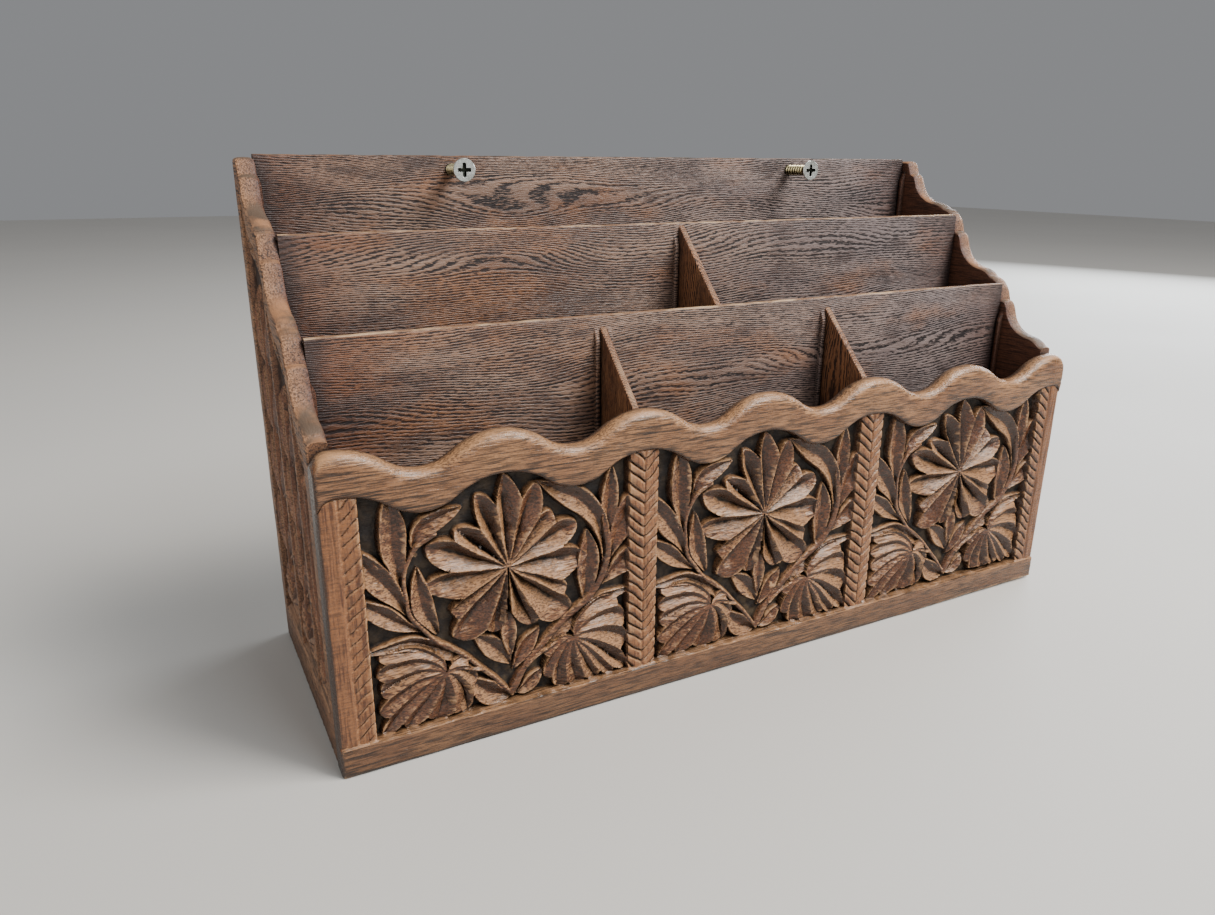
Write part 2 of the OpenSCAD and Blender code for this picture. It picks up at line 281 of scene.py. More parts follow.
def motif(a, b):
    """Height of the carved flower, ring, leaves and fans over the ground, in mm."""
    warp = 0.25
    a = a + warp * waves(a, b, 3, (17, 15))
    b = b + warp * waves(a, b, 4, (15, 17))
    c = Carving(a, b)
    left_ring = [(0.1, -47), (-5.4, -39.8), (-10.5, -33.8), (-15.6, -28.7), (-21.1, -24.1),
                 (-25.3, -19.9), (-29, -14.9), (-30.8, -11.2), (-31.7, -5.6), (-32, -1),
                 (-31.3, 3.6), (-29.4, 7.3), (-26.7, 10.2), (-22, 12.8)]
    right_ring = [(0.3, -46), (1.8, -43.5), (5.6, -37.6), (13.3, -29.6), (20.9, -23.6),
                  (26.8, -19.9), (31, -15.4), (34, -9.5), (35, -2.3), (34, 5)]
    c.stem(left_ring, 2.0, 2.7)
    c.stem(right_ring, 3.0, 2.8)
    c.leaf([(-28.9, 8.5), (-26.4, 14), (-21.6, 16.8), (-13.2, 19.4)], 6.5, 3.0)
    c.leaf([(33.5, -12), (33.4, -1), (30.8, 7.7), (25.8, 14.2), (18.6, 18.9), (10.5, 23.2)],
           8, 3.4, fullest=0.62)
    # Long upright leaves beside the ring
    c.leaf([(-32.4, -4), (-34.2, 10), (-34.4, 27)], 8.5, 3.2, fullest=0.6)
    c.leaf([(-30.4, -13), (-36.5, -2.5), (-46.5, 12)], 8.5, 3.0, fullest=0.6)
    c.leaf([(-26.6, -19), (-35, -12.8), (-46.5, -3.5)], 6.5, 3.0, fullest=0.6)
    c.leaf([(34.8, -3), (34.8, 9), (36.4, 25)], 6.5, 3.2, fullest=0.6)
    c.leaf([(35, -9), (38.8, 1.2), (46, 16)], 10, 3.0, fullest=0.65)
    c.leaf([(31.6, -17), (38, -11), (48, -4.5)], 8, 3.0, fullest=0.65)
    # Leaves between the ring and the flower, bud, and sprays at the stems' foot
    c.leaf([(-22.4, -20.5), (-27, -9.5), (-27.6, 3)], 7, 3.0)
    c.leaf([(26.5, -21.5), (27.4, -9.5), (27.5, 4.5)], 8.5, 3.0, fullest=0.55)
    c.leaf([(0, -17.6), (-0.5, -24), (0.2, -34)], 5.5, 3.6, groove=0.4, fullest=0.4)
    c.leaf([(0.4, -36.5), (-3.8, -30.6), (-11.5, -23.5)], 7.5, 2.9)
    c.leaf([(1.2, -38.5), (5.4, -31.5), (10.6, -25.5)], 6, 2.9)
    c.leaf([(0.2, -48), (-6.5, -45.3), (-13.5, -37.5)], 8, 3.0)
    c.leaf([(1.5, -47.6), (6, -45.4), (11.4, -41.2)], 5.5, 2.8)
    # Corner fans, each with a stem, under an arching leaf
    left_at, right_at = (-21.3, -32.6), (22, -31.6)
    left_fan = [(-42, -25.2), (-42.2, -31.1), (-41, -37), (-41.6, -42.6), (-41.6, -49.6),
                (-34, -49.6), (-26, -48.6), (-17.4, -49.6), (-14.6, -42.6), (-14.4, -36.5)]
    right_fan = [(39.4, -24), (41.6, -31), (41.8, -39), (41.4, -48.4), (36, -49.6),
                 (31, -49.4), (25, -49.6), (18.6, -49.6), (15.2, -46.5), (14.6, -40.4)]
    for centre, tips, axis in ((left_at, left_fan, -125), (right_at, right_fan, -52)):
        c.rosette(centre, petals_between(tips, centre), height=3.9, slope=0.9, axis=axis,
                  closing=0.5)
    c.stem([left_at, (-16, -33), (-9.5, -35)], 1.6, 3.4)
    c.stem([right_at, (16, -32), (10, -34.6), (5.6, -38)], 1.6, 3.4)
    c.leaf([(-8.5, -35), (-17.6, -28.6), (-25.6, -23.3), (-34.4, -20.6), (-46, -22)], 5.5, 3.0)
    c.leaf([(4.6, -38.5), (12.7, -31.4), (20.3, -26.6), (27.9, -22.8), (36.2, -20.2), (46, -19)],
           6, 3.0)
    c.rosette(FLOWER_MIDDLE, flower_petals(), height=4.6, slope=1.2)
    return c.height


# ------ board tools

def top_line(node, across, axis, at):
    """Height of a CAD node's top edge over each place along an axis, in mm."""
    source = frame["nodes"][node].data
    tree = BVHTree.FromPolygons([v.co for v in source.vertices],
                                [p.vertices for p in source.polygons])
    heights = []
    for place in across:
        point = [at * MM, at * MM, 1.0]
        point[axis] = place * MM
        hit = tree.ray_cast(Vector(point), Vector((0, 0, -1)))[0]
        heights.append(hit.z / MM if hit else np.nan)
    heights = np.array(heights)
    good = ~np.isnan(heights)
    return np.interp(across, across[good], heights[good])


def blurred(values, width):
    """Running mean that keeps the ends, to round off a faceted edge."""
    pad = np.pad(values, width, mode="edge")
    return np.convolve(pad, np.ones(2 * width + 1) / (2 * width + 1), mode="valid")


def linked(name, data):
    """A new object in the scene."""
    obj = bpy.data.objects.new(name, data)
    bpy.context.scene.collection.objects.link(obj)
    return obj


def relief_board(name, across, foot, top, face, rear, nose, square, rows, rear_rows, place, flip):
    """Closed board from its width, foot and top lines, its faces' depths over (across, up), and a
    rounded top edge `nose` high. `place` turns (across, up, depth) into x, y, z."""
    arc_steps = 7
    up = np.linspace(0, 1, rows)[:, None]
    b_front = foot + up * (top - nose - foot)[None, :]
    a_front = np.broadcast_to(across[None, :], b_front.shape)
    c_front = face(a_front, b_front)
    down = np.linspace(1, 0, rear_rows)[:, None]
    b_rear = foot + down * (top - nose - foot)[None, :]
    a_rear = np.broadcast_to(across[None, :], b_rear.shape)
    c_rear = rear(a_rear, b_rear)
    turn = np.linspace(0, math.pi, arc_steps + 2)[1:-1, None]
    shape_c = np.sign(np.cos(turn)) * np.abs(np.cos(turn)) ** square
    shape_b = np.abs(np.sin(turn)) ** square
    middle = (c_front[-1] + c_rear[0]) / 2
    half = (c_front[-1] - c_rear[0]) / 2
    b_arc = (top - nose)[None, :] + nose * shape_b
    c_arc = middle + half * shape_c
    a_arc = np.broadcast_to(across[None, :], b_arc.shape)
    a = np.vstack([a_front, a_arc, a_rear])
    b = np.vstack([b_front, b_arc, b_rear])
    c = np.vstack([c_front, c_arc, c_rear])
    points = np.stack(place(a, b, c), axis=-1).reshape(-1, 3) * MM
    ring, wide = a.shape
    i = np.arange(ring)[:, None]
    j = np.arange(wide - 1)[None, :]
    n = (i + 1) % ring
    quads = np.stack([i * wide + j, n * wide + j, n * wide + j + 1, i * wide + j + 1], axis=-1)
    quads = quads.reshape(-1, 4)
    cap_low = np.arange(ring) * wide
    cap_high = cap_low[::-1] + wide - 1
    if flip:
        quads, cap_low, cap_high = quads[:, ::-1], cap_low[::-1], cap_high[::-1]
    loops = np.concatenate([quads.ravel(), cap_low, cap_high])
    starts = np.concatenate([np.arange(len(quads)) * 4, [quads.size, quads.size + ring]])
    mesh = bpy.data.meshes.new(name)
    mesh.vertices.add(len(points))
    mesh.vertices.foreach_set("co", points.astype(np.float32).ravel())
    mesh.loops.add(len(loops))
    mesh.loops.foreach_set("vertex_index", loops.astype(np.int32))
    mesh.polygons.add(len(starts))
    mesh.polygons.foreach_set("loop_start", starts.astype(np.int32))
    mesh.update(calc_edges=True)
    obj = linked(name, mesh)
    thin_out(obj)
    shade_smooth(obj, SMOOTH_BELOW)
    return obj


def thin_out(obj):
    """Fewer triangles where the mesh is nearly flat, so that the piece stays under the limit."""
    triangles = sum(len(p.vertices) - 2 for p in obj.data.polygons)
    if triangles <= MESH_LIMIT:
        return
    decimate = obj.modifiers.new("fewer", "DECIMATE")
    decimate.ratio = MESH_LIMIT / triangles
    apply_modifiers(obj)


def apply_modifiers(obj):
    """The mesh as its modifiers leave it takes the place of the object's own."""
    bpy.context.view_layer.update()
    graph = bpy.context.evaluated_depsgraph_get()
    reduced = bpy.data.meshes.new_from_object(obj.evaluated_get(graph))
    obj.modifiers.clear()
    old = obj.data
    obj.data = reduced
    bpy.data.meshes.remove(old)


def shade_smooth(obj, degrees):
    """Smooth shading that keeps edges sharper than an angle."""
    mesh = obj.data
    mesh.polygons.foreach_set("use_smooth", np.ones(len(mesh.polygons), bool))
    mesh.set_sharp_from_angle(angle=math.radians(degrees))


def steps(low, high, step):
    """Even places from low to high, about a step apart."""
    return np.linspace(low, high, int(round((high - low) / step)) + 1)


def with_ribs(across, places):
    """Places across a board, closer together at its guide ribs."""
    extra = [p + d for p in places for d in np.linspace(-RIB_W / 2, RIB_W / 2, 9)]
    return np.unique(np.round(np.concatenate([across, extra]), 3))


def rib(a, b, places, top):
    """Height of rounded guide ribs at some places across a board, which stop below its top."""
    shape = np.zeros(a.shape)
    for place in places:
        across = np.clip(np.abs(a - place) / (RIB_W / 2), 0, 1)
        shape = np.maximum(shape, RIB_D * np.sqrt(1 - across ** 4))
    return shape * smooth((top - RIB_TOP_GAP - b) / 5)


def pair(place, thickness):
    """Middles of the two ribs that hold a board's end."""
    off = thickness / 2 + RIB_GAP + RIB_W / 2
    return [place - off, place + off]


# ------ shader tools

class Shade:
    """A material, with short calls for the nodes that it is made of."""

    def __init__(self, name):
        self.material = bpy.data.materials.new(name)
        self.material.use_nodes = True
        self.nodes = self.material.node_tree.nodes
        self.links = self.material.node_tree.links
        self.shader = self.nodes["Principled BSDF"]
        place = self.nodes.new("ShaderNodeTexCoord").outputs["Object"]
        self.mm = self.scaled(place, (1 / MM, 1 / MM, 1 / MM))

    def link(self, value, socket):
        if isinstance(value, bpy.types.NodeSocket):
            self.links.new(value, socket)
        elif value is not None:
            socket.default_value = value

    def node(self, kind, inputs, output=0, **values):
        node = self.nodes.new(kind)
        for key, value in values.items():
            setattr(node, key, value)
        for key, value in inputs.items():
            self.link(value, node.inputs[key])
        return node.outputs[output]

    def scaled(self, vector, factors):
        return self.node("ShaderNodeVectorMath", {0: vector, 1: factors}, operation="MULTIPLY")

    def math(self, operation, a, b=None):
        return self.node("ShaderNodeMath", {0: a, 1: b}, operation=operation)

    def plus(self, a, b):
        return self.math("ADD", a, b)

    def times(self, a, b):
        return self.math("MULTIPLY", a, b)

    def axis(self, index):
        """The place along one of the object's axes, in mm."""
        return self.node("ShaderNodeSeparateXYZ", {0: self.mm}, output=index)

    def facing(self, index, sign=1.0):
        """How much the surface faces along one of the object's axes."""
        normal = self.nodes.new("ShaderNodeTexCoord").outputs["Normal"]
        return self.times(self.node("ShaderNodeSeparateXYZ", {0: normal}, output=index), sign)

    def noise(self, sizes, detail=3.0, rough=0.55, vector=None):
        """Noise whose bumps are about sizes = (x, y, z) mm apart."""
        stretched = self.scaled(vector or self.mm, tuple(1 / s for s in sizes))
        return self.node("ShaderNodeTexNoise", {"Vector": stretched, "Scale": 1.0,
                                                "Detail": detail, "Roughness": rough})

    def between(self, value, low, high, out_low=0.0, out_high=1.0):
        """From out_low, for a value at low, to out_high, for a value at high."""
        return self.node("ShaderNodeMapRange", {"Value": value, "From Min": low, "From Max": high,
                                                "To Min": out_low, "To Max": out_high},
                         interpolation_type="SMOOTHSTEP")

    def mix(self, share, a, b, blend="MIX"):
        node = self.nodes.new("ShaderNodeMix")
        node.data_type = "RGBA"
        node.blend_type = blend
        self.link(share, node.inputs["Factor"])
        self.link(a, node.inputs[6])
        self.link(b, node.inputs[7])
        return node.outputs[2]

    def over(self, below, above, value, low, high, out_low=0.0, out_high=1.0):
        """One colour over another, as much as `between` says."""
        return self.mix(self.between(value, low, high, out_low, out_high), below, above)

    def crevice(self, reach):
        """1 in the open and lower in corners and grooves, within a reach in mm."""
        return self.node("ShaderNodeAmbientOcclusion", {"Distance": reach * MM}, output=1,
                         samples=8)

    def bump(self, height, depth, strength=1.0, below=None):
        return self.node("ShaderNodeBump", {"Height": height, "Distance": depth * MM,
                                            "Strength": strength, "Normal": below})

    def finish(self, colour, roughness, normal, **uniform):
        self.link(colour, self.shader.inputs["Base Color"])
        self.link(roughness, self.shader.inputs["Roughness"])
        self.link(normal, self.shader.inputs["Normal"])
        for name, value in uniform.items():
            self.shader.inputs[name.replace("_", " ")].default_value = value
        return self.material


def tone(red, green, blue):
    """Linear colour from the 0 to 255 values of a screen colour."""
    return tuple(((v / 255 + 0.055) / 1.055) ** 2.4 for v in (red, green, blue)) + (1.0,)


# ------ materials

def grain_lines(s, along, across, seed_shift):
    """Thin lines along one axis that bend into long ovals and break into dashes:
    0 in a line and 1 between them, and the height for a bump."""
    away = (seed_shift, 0.37 * seed_shift, 0.61 * seed_shift)
    shift = s.node("ShaderNodeVectorMath", {0: s.mm, 1: away}, operation="ADD")
    line_gap, bend, wander, regular = 0.95, 27.0, 5.0, 0.16
    figure = s.noise(sized(along, 95.0, 22.0), detail=1.0, rough=0.35, vector=shift)
    place = s.plus(s.axis(across), s.times(figure, bend))
    ragged = s.noise(sized(along, 4.0, 1.2), detail=2.0, rough=0.6, vector=shift)
    phase = s.plus(s.times(place, 2 * math.pi / line_gap), s.times(ragged, wander))
    dash = s.noise(sized(along, 2.8, 0.36), detail=2.0, rough=0.6, vector=shift)
    both = s.plus(s.times(s.math("SINE", phase), regular), dash)
    patch = s.noise(sized(along, 34.0, 9.0), detail=2.0, vector=shift)
    both = s.plus(both, s.between(patch, 0.25, 0.75, -0.06, 0.07))
    return s.between(both, 0.40, 0.51), both


def sized(along, long, short):
    """Noise sizes that are long along one axis and short along the other two."""
    sizes = [short, short, short]
    sizes[along] = long
    return tuple(sizes)


def grained(name, along, across, tones, seed_shift, polish, bare_top=0.0):
    """Moulded wood look: embossed lines that run along one axis, over large tone changes, and
    painted shade in corners;
    long boards also get a painted sheen towards the right and painted shade beside the side panels.
    With a bare top, the narrow edge that faces up is worn pale."""
    s = Shade(name)
    open_wood, height = grain_lines(s, along, across, seed_shift)
    patch = s.between(s.noise(sized(along, 60.0, 16.0), detail=3.0), 0.35, 0.65)
    wood = s.mix(patch, tones["wood"], tones["pale"])
    if along == 0:
        # Painted sheen: long boards are greyer towards the right
        wood = s.over(wood, tones["painted_sheen"], s.axis(0), -0.4 * INNER_X, 0.9 * INNER_X, 0.0, 0.6)
    colour = s.mix(open_wood, tones["line"], wood)
    warm = s.noise(sized(along, 34.0, 15.0), detail=3.0)
    if along == 0:
        warm = s.plus(warm, s.between(s.axis(0), -INNER_X, INNER_X, 0.06, -0.1))
    warm = s.between(warm, 0.46, 0.72, 0.0, 0.7)
    colour = s.mix(warm, colour, s.mix(open_wood, tones["warm_line"], tones["warm"]))
    blotch = s.noise(sized(along, 20.0, 9.0), detail=4.0)
    colour = s.over(colour, tones["stain"], blotch, 0.52, 0.72, 0.0, 0.6)
    if along == 0:
        # Painted shade: their faces turn red and then dark beside the side panels
        near_end = s.plus(s.math("ABSOLUTE", s.axis(0)), s.times(dust_noise(s), 5.0))
        to_front = s.between(s.facing(1, -1.0), 0.0, 0.5)
        painted_corner_shade = s.times(s.between(near_end, INNER_X - 34, INNER_X, 0.0, 0.6), to_front)
        colour = s.mix(painted_corner_shade, colour, tones["red"], "MULTIPLY")
        painted_end_shadow = s.times(s.between(near_end, INNER_X - 6, INNER_X + 1.5, 0.0, 0.8), to_front)
        colour = s.mix(painted_end_shadow, colour, tones["stain"])
    colour = s.over(colour, tones["dust"], dust_noise(s), 0.6, 0.8, 0.0, 0.3)
    # Painted shade in corners and grooves
    colour = shaded(s, colour, 9.0, 0.3)
    colour = worn_top(s, colour, tones["bare"], tones["bare_dark"], bare_top)
    rough = s.between(open_wood, 0.0, 1.0, 0.62, polish)
    return s.finish(colour, rough, s.bump(height, 0.4, 0.8))


def dust_noise(s):
    return s.noise((3.0, 3.0, 3.0), detail=4.0)


def worn_top(s, colour, bare, stained, share=1.0):
    """Bare and stained patches on the edges that face up."""
    patch = s.between(s.noise((14.0, 14.0, 14.0), detail=5.0), 0.44, 0.62)
    worn = s.between(s.facing(2), 0.6, 0.9, 0.0, share)
    return s.mix(worn, colour, s.mix(patch, stained, bare))


def shaded(s, colour, reach, darkest):
    """A colour with painted shade, darker in corners and grooves, within a reach in mm."""
    shade = s.between(s.crevice(reach), 0.2, 0.95, darkest, 1.0)
    grey = s.node("ShaderNodeCombineColor", {0: shade, 1: shade, 2: shade})
    return s.mix(1.0, colour, grey, "MULTIPLY")


def carved(name, depth_axis, foremost, sign, ground_at, tones, stiles=False):
    """Carved look: a dark dusty ground, satin raised parts with fine tool lines, worn edges that
    also paint highlights on the ridges, and painted light and shade: by how faces turn, in corners,
    at the foot.
    Depth is measured along an axis from the foremost face, and the ground starts at ground_at."""
    s = Shade(name)
    depth = s.times(s.math("SUBTRACT", s.axis(depth_axis), foremost), sign)
    ragged = s.noise((2.2, 2.2, 2.2), detail=4.0)
    level = s.plus(depth, s.between(ragged, 0.2, 0.8, -0.3, 0.3))
    faces_out = s.between(s.facing(depth_axis, -sign), 0.1, 0.5)
    low = s.times(s.between(level, ground_at - 0.7, ground_at), faces_out)
    along = 1 - depth_axis
    streak = s.noise(sized(along, 7.0, 0.42), detail=3.0)
    pore = s.noise(sized(along, 20.0, 0.7), detail=3.0, rough=0.65)
    hatch = s.noise((0.8, 0.8, 0.8), detail=3.0)
    patch = s.between(s.noise((20.0, 20.0, 12.0), detail=3.0), 0.3, 0.7)
    sunk = s.times(s.between(depth, 0.45, 0.9), faces_out)
    rail = s.mix(patch, tones["rail"], tones["rail_light"])
    leaf = s.mix(patch, tones["leaf"], tones["leaf_light"])
    wood = s.mix(sunk, rail, leaf)
    plain = s.between(streak, 0.40, 0.54, 0.6, 0.0)
    if stiles:
        # Stiles have upright fibres in place of the lines
        place = s.math("FRACT", s.plus(s.math("DIVIDE", s.axis(0), PITCH), 0.5 * (WINDOWS % 2)))
        off = s.math("MINIMUM", place, s.math("SUBTRACT", 1.0, place))
        half = 0.5 * STILE_W / PITCH
        on_stile = s.times(s.between(off, half + 0.004, half), sunk)
        upright = s.noise((0.6, 0.6, 10.0), detail=3.0)
        stile = s.mix(s.between(upright, 0.35, 0.55), tones["leaf"], tones["stile"])
        wood = s.mix(on_stile, wood, stile)
        plain = s.times(plain, s.math("SUBTRACT", 1.0, on_stile))
    # Painted light and shade: faces that turn up, and on the front also to the right, are painted
    # lit, and faces that turn down are painted shaded, with streaks breaking it up
    lit_from = s.facing(2)
    if depth_axis == 1:
        lit_from = s.plus(lit_from, s.facing(0, 0.5))
    uneven = s.plus(lit_from, s.between(streak, 0.3, 0.7, -0.12, 0.12))
    wood = s.over(wood, tones["under"], uneven, -0.45, 0.12, 0.85, 0.0)
    wood = s.over(wood, tones["lit"], uneven, 0.12, 0.5, 0.0, 0.75)
    wood = s.over(wood, tones["inner"], s.facing(depth_axis, sign), -0.3, 0.3)
    wood = s.over(wood, tones["ground"], hatch, 0.35, 0.6, 0.25, 0.0)
    pores = s.times(s.between(pore, 0.53, 0.63, 0.0, 0.85), s.math("SUBTRACT", 1.0, sunk))
    wood = s.mix(pores, wood, tones["ground"])
    wood = s.mix(plain, wood, tones["ground"])
    # Painted shade along the foot, fading out by 13 mm up
    wood = s.over(wood, tones["under"], s.axis(2), 6.0, 13.0, 0.4, 0.0)
    # Dust on the ground, painted shade in corners and grooves, and worn edges that also paint
    # highlights on the ridges
    height_up = s.between(s.axis(2), 10.0, 45.0, 0.9, 0.35)
    dust = s.times(s.between(s.noise((5.0, 5.0, 5.0), detail=5.0), 0.42, 0.62), height_up)
    colour = s.mix(low, wood, s.mix(dust, tones["ground"], tones["dust"]))
    colour = shaded(s, shaded(s, colour, 1.8, 0.15), 7.0, 0.45)
    # Paler worn edges, strengthened to serve also as painted highlights on the ridges
    convex = s.node("ShaderNodeNewGeometry", {}, output="Pointiness")
    worn = s.between(convex, 0.52, 0.57, 0.0, tones["wear"])
    chance = s.between(s.noise((5.0, 5.0, 5.0), detail=3.0), 0.38, 0.6, 0.15, 1.0)
    colour = s.mix(s.times(worn, chance), colour, tones["edge"])
    if "top" in tones:
        colour = worn_top(s, colour, *tones["top"])
    rough = s.plus(s.between(low, 0.0, 1.0, tones["rough"], 0.7),
                   s.between(hatch, 0.3, 0.7, 0.1, -0.05))
    fine = s.plus(s.times(streak, 0.6), s.times(hatch, 0.2))
    return s.finish(colour, rough, s.bump(fine, 0.3, 0.7, below=s.bump(pore, 0.4, 0.6)))


def zinc(name):
    """Bright zinc head, and a yellow passivated thread behind it, with painted shade in the cross
    recess, in the thread's grooves and in corners.
    """
    s = Shade(name)
    head_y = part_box("left_hanging_screw")[0].y / MM
    scratch = s.noise((0.5, 3.0, 0.15), detail=3.0)
    stain = s.noise((2.0, 2.0, 2.0), detail=4.0)
    behind = s.plus(s.axis(1), s.times(stain, 1.5))
    yellow = s.between(behind, head_y + 3.2, head_y + 4.4)
    bright = s.over(tone(226, 228, 222), tone(190, 192, 184), stain, 0.4, 0.7)
    # Distance from the axis of the nearer screw, as the two are mirrored
    low, high = box_mm("right_hanging_screw")
    middle = (low + high) / 2
    from_axis = s.math("SUBTRACT", s.math("ABSOLUTE", s.axis(0)), middle[0])
    above_axis = s.math("SUBTRACT", s.axis(2), middle[2])
    radius = s.math("SQRT", s.plus(s.times(from_axis, from_axis), s.times(above_axis, above_axis)))
    # Painted shade in the thread's grooves, the colour darkening towards the core
    thread = s.over(tone(92, 78, 44), tone(232, 218, 172), radius, CORE_R + 0.05, THREAD_R - 0.1)
    # Painted shade in the cross recess
    recess = s.times(s.between(s.axis(1), head_y + 0.1, head_y + 0.45),
                     s.between(radius, RECESS_L + 0.4, RECESS_L + 0.2))
    bright = s.mix(recess, bright, tone(58, 60, 52))
    # Painted shade in corners and grooves
    colour = shaded(s, s.mix(yellow, bright, thread), 1.6, 0.06)
    rough = s.between(scratch, 0.3, 0.7, 0.24, 0.42)
    return s.finish(colour, rough, s.bump(scratch, 0.03, 0.5), Metallic=0.95)


# ------ pieces

def keep(obj, node, material):
    """The piece stands for a CAD node, stays in its box, rides on its body and takes a material."""
    low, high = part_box(node)
    points = np.empty(3 * len(obj.data.vertices), np.float32)
    obj.data.vertices.foreach_get("co", points)
    points = np.clip(points.reshape(-1, 3), low, high)
    obj.data.vertices.foreach_set("co", points.astype(np.float32).ravel())
    obj.data.update()
    obj.data.materials.clear()
    obj.data.materials.append(material)
    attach(obj, frame["nodes"][node]["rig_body"])
    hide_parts(node)


def edge_roll(distance, radius):
    """How far a face falls back near an edge, for a rounded edge."""
    d = np.clip(distance, 0, radius)
    return radius - np.sqrt(np.clip(radius ** 2 - (radius - d) ** 2, 0, None))


def front_relief(a, b, top):
    """Depth of the carved front behind its foremost plane, in mm."""
    from_first = a - FRONT_LOW[0] - STILE_W / 2
    local = from_first % PITCH - PITCH / 2
    # The motif is carved once, over the first window's columns, and the others repeat it
    columns = from_first[0] < PITCH
    flower = motif((local[:, columns] - FLOWER_AT[0]) / MOTIF_UNIT,
                   (b[:, columns] - FLOWER_AT[1]) / MOTIF_UNIT)
    order = np.argsort(local[0, columns])
    found = np.searchsorted(local[0, columns][order], local[0])
    height = flower[:, order[np.minimum(found, len(order) - 1)]]
    ground = 0.16 * waves(a, b, 11, (5, 5)) + 0.08 * waves(a, b, 12, (2.4, 2.2))
    tool_marks = 0.1 * waves(a, b, 13, (5, 1.3))
    depth = (GROUND_SET - np.where(height > 0.02, height, 0)
             + np.where(height < 2.2, ground, tool_marks))
    from_stile = np.abs((from_first + PITCH / 2) % PITCH - PITCH / 2)
    on_stile = inside(STILE_W / 2 - from_stile)
    depth = depth + (stile_depth(a, b) - depth) * on_stile
    # Rails
    above = b - (top - TOP_RAIL_H)
    belly = RAIL_SET * (1 - np.clip(2 * above / TOP_RAIL_H - 1, -1, 1) ** 2)
    rail = RAIL_SET - belly + edge_roll(above, 1.3) + 0.10 * waves(a, b, 21, (18, 2.2))
    depth = depth + (rail - depth) * inside(above, 0.3)
    below = BASE_RAIL_H - b
    base = edge_roll(below, 0.9) + 0.08 * waves(a, b, 22, (20, 2.4)) + edge_roll(b, 0.8) + 0.1
    depth = depth + (base - depth) * inside(below, 0.3)
    ends = FRONT_W / 2 - np.abs(a)
    return np.clip(depth + edge_roll(ends, 1.2), 0, GROUND_SET + 0.3)


def strand(phase, depth):
    """Flat strands side by side, each rolling off into a sharp groove."""
    t = 2 * (phase % 1.0) - 1
    return depth * (1 - np.sqrt(np.clip(1 - np.abs(t) ** 4, 0, 1)) + 0.25 * (t + 1) / 2)


def stile_depth(a, b):
    """Depth of the stiles: braided in the middle, one side plain at the two ends."""
    from_first = a - FRONT_LOW[0] - STILE_W / 2
    index = np.round(from_first / PITCH)
    across = from_first - index * PITCH
    braid_pitch, lean = 3.9, math.tan(math.radians(40))
    wobble = 0.12 * waves(a, b, 31, (9, 9))
    roof = 0.8 * (np.abs(across) / (STILE_W / 2)) ** 1.4 + 0.3 * np.exp(-(across / 0.4) ** 2)
    braid = strand((b - np.abs(across) * lean) / braid_pitch + wobble, 1.2) + roof
    left = strand((b - across * lean) / braid_pitch + wobble, 0.8) * inside(across - 0.2, 0.4)
    right = strand((b + across * lean) / braid_pitch + wobble, 1.2) * inside(-0.6 - across, 0.4)
    ends = np.where(index == 0, left, right) + 0.06 * waves(a, b, 32, (1.6, 18))
    ends = ends + 0.3 * np.exp(-(across / 0.5) ** 2)
    return STILE_SET + np.where((index == 0) | (index == WINDOWS), ends, braid)


def front_panel():
    """Carved front, with ribs for two boards and a foot that rises a little to the right."""
    across = steps(FRONT_LOW[0], FRONT_HIGH[0], 0.3)
    across[0] += HAIR
    across[-1] -= HAIR
    top = blurred(top_line("front_panel", across, 0, FRONT_LOW[1] + FRONT_T - 1), 3)
    top = np.minimum(top, FRONT_HIGH[2])
    foot = 1.3 * smooth((across - 30) / 110)
    front_y, rear_y = FRONT_LOW[1], FRONT_LOW[1] + FRONT_T
    low, high = box_mm("front_left_cross_divider")
    middle = (low[0] + high[0]) / 2
    places = pair(middle, high[0] - low[0]) + pair(-middle, high[0] - low[0])
    lowest = top.min()
    return relief_board(
        "carved_front", across, foot, top,
        face=lambda a, b: -front_y - front_relief(a, b, top),
        rear=lambda a, b: -rear_y - rib(a, b, places, lowest),
        nose=3.6, square=0.85, rows=330, rear_rows=24,
        place=lambda a, b, c: (a, -c, b), flip=True)


def long_board(name, node, front_ribs, rear_ribs):
    """Grained board across the organizer, with the ribs that hold the cross dividers."""
    low, high = box_mm(node)
    thick_front = low[1] + (RIB_D if front_ribs else 0)
    thick_rear = high[1] - (RIB_D if rear_ribs else 0)
    across = with_ribs(steps(low[0], high[0], 2.2), front_ribs + rear_ribs)
    top = high[2] - 0.18 * np.clip(waves(across, 0, len(name), (14, 14)), 0, None)

    def face(a, b):
        sunk = rippled(a, b, 0.07, 41, (40, 3.2))
        return -thick_front - sunk + rib(a, b, front_ribs, high[2])

    def rear(a, b):
        sunk = rippled(a, b, 0.07, 42, (40, 3.2))
        return -thick_rear + sunk - rib(a, b, rear_ribs, high[2])

    return relief_board(name, across, low[2], top, face, rear, nose=0.7, square=0.7,
                        rows=180, rear_rows=180, place=lambda a, b, c: (a, -c, b), flip=True)


def drilled(obj, axis_at, radius, low, high):
    """Cuts a round hole through a board, from low to high along Y."""
    x, z = axis_at
    bpy.ops.mesh.primitive_cylinder_add(vertices=72, radius=radius * MM, depth=(high - low) * MM,
                                        location=(x * MM, (low + high) / 2 * MM, z * MM),
                                        rotation=(math.pi / 2, 0, 0))
    tool = bpy.context.active_object
    cut = obj.modifiers.new("hole", "BOOLEAN")
    cut.operation = "DIFFERENCE"
    cut.solver = "EXACT"
    cut.object = tool
    apply_modifiers(obj)
    bpy.data.objects.remove(tool)
    shade_smooth(obj, SMOOTH_BELOW)


